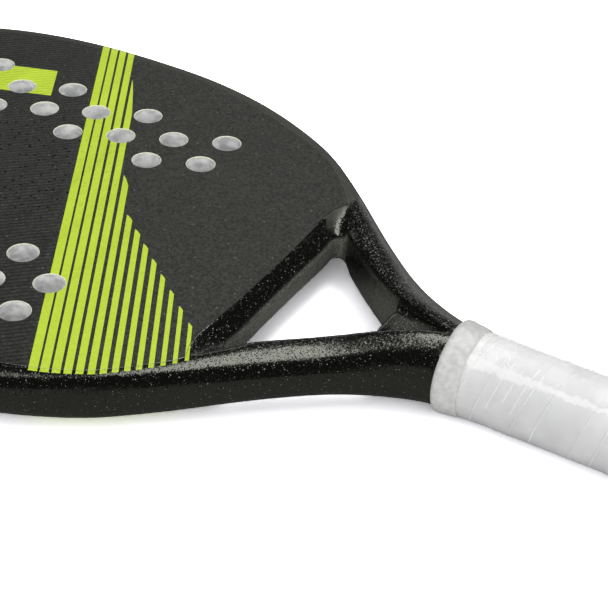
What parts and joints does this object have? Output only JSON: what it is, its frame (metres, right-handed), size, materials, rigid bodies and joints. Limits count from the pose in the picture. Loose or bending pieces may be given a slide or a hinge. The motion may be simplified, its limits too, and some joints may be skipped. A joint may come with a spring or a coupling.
{
  "type": "beach tennis racket",
  "caption": "Solid-faced beach tennis racket: drilled foam-core head in a tubular frame, open triangular throat and a wound grip under clear film.",
  "frame": {"origin": "centre of the racket's bounding box, on the middle plane of the head and on the long centre line", "axes": "+Y along the racket from the butt to the top of the head, +X across the head, +Z out of the front striking face"},
  "size_m": [0.26, 0.5, 0.0386],
  "materials": {
    "eva_foam": "matte closed-cell foam",
    "face_laminate": "fine granular matte paint on fibre laminate, with lime stripes",
    "gloss_frame": "gloss black lacquer with fine glitter on fibre laminate",
    "rigid_foam": "bare moulded rigid foam",
    "grip_wrap": "smooth white cushioned grip",
    "clear_film": "thin clear protective film",
    "white_tape": "satin vinyl tape",
    "collar_rubber": "satin off-white rubber",
    "cap_plastic": "satin moulded plastic"
  },
  "bodies": {
    "root": {"foam_core": "eva_foam", "front_face": "face_laminate", "back_face": "face_laminate", "frame_tube": "gloss_frame", "throat_bridge": "gloss_frame", "throat_web": "gloss_frame", "left_leg_foam": "rigid_foam", "right_leg_foam": "rigid_foam", "front_handle_pallet": "rigid_foam", "back_handle_pallet": "rigid_foam", "base_grip": "grip_wrap", "grip_film": "clear_film", "finishing_tape": "white_tape", "grip_collar": "collar_rubber", "butt_cap": "cap_plastic"}
  },
  "joints": []
}
